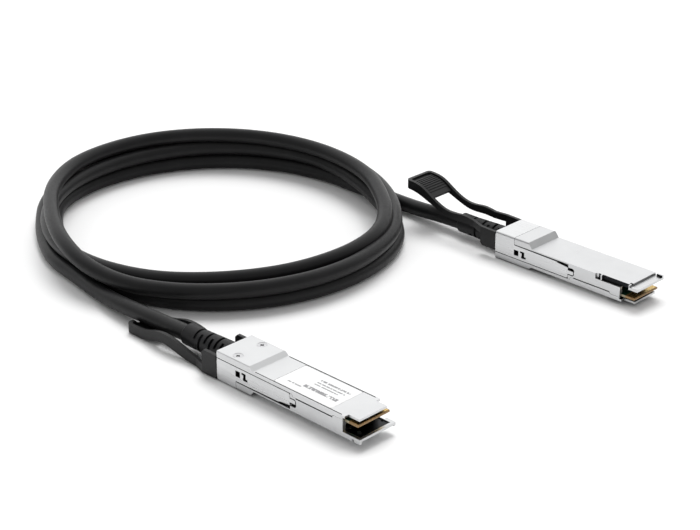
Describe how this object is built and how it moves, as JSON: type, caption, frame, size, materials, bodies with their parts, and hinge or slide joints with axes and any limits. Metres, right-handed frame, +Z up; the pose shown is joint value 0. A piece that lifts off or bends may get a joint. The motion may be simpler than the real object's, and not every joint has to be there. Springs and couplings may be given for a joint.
{
  "type": "direct attach copper cable",
  "caption": "Coiled black copper cable with a flat metal pluggable connector at each end, spring-loaded latch sliders, moulded pull tabs and slotted strain reliefs.",
  "frame": {"origin": "centre of the underside of the first plug's rear step, on the surface it lies on", "axes": "+X from the cable towards both plugs' noses, +Y from the first plug to the second, +Z up"},
  "size_m": [0.2671, 0.1785, 0.021],
  "materials": {
    "shell_metal": "satin nickel plate over a die casting",
    "slider_steel": "bright stainless sheet",
    "spring_steel": "bright wire",
    "screw_steel": "bright nickel",
    "circuit_board": "dark green solder mask",
    "gold_contacts": "gold plate",
    "wire_jacket": "matte",
    "ferrule_brass": "satin",
    "boot_rubber": "matte black",
    "tab_plastic": "slightly glossy black",
    "cable_jacket": "satin black",
    "label_film": "white film"
  },
  "bodies": {
    "plugs_and_cable": {"base_shell_a": "shell_metal", "cover_shell_a": "shell_metal", "return_springs_a": "spring_steel", "cover_screws_a": "screw_steel", "paddle_card_a": "circuit_board", "edge_contacts_a": "gold_contacts", "wire_pairs_a": "wire_jacket", "crimp_ferrule_a": "ferrule_brass", "strain_relief_a": "boot_rubber", "label_a": "label_film", "base_shell_b": "shell_metal", "cover_shell_b": "shell_metal", "return_springs_b": "spring_steel", "cover_screws_b": "screw_steel", "paddle_card_b": "circuit_board", "edge_contacts_b": "gold_contacts", "wire_pairs_b": "wire_jacket", "crimp_ferrule_b": "ferrule_brass", "strain_relief_b": "boot_rubber", "label_b": "label_film", "cable_coil": "cable_jacket", "cable_lead_a": "cable_jacket", "cable_lead_b": "cable_jacket"},
    "release_a": {"latch_slider_a": "slider_steel", "pull_tab_a": "tab_plastic"},
    "release_b": {"latch_slider_b": "slider_steel", "pull_tab_b": "tab_plastic"}
  },
  "joints": [
    {"name": "release_a_slide", "type": "slide", "parent": "plugs_and_cable", "child": "release_a", "axis": [-1, 0, 0], "range_m": [0, 0.003], "stiffness_N_per_m": 400, "springref_m": -0.004, "deforming": ["return_springs_a"]},
    {"name": "release_b_slide", "type": "slide", "parent": "plugs_and_cable", "child": "release_b", "axis": [-1, 0, 0], "range_m": [0, 0.003], "stiffness_N_per_m": 400, "springref_m": -0.004, "deforming": ["return_springs_b"]}
  ]
}
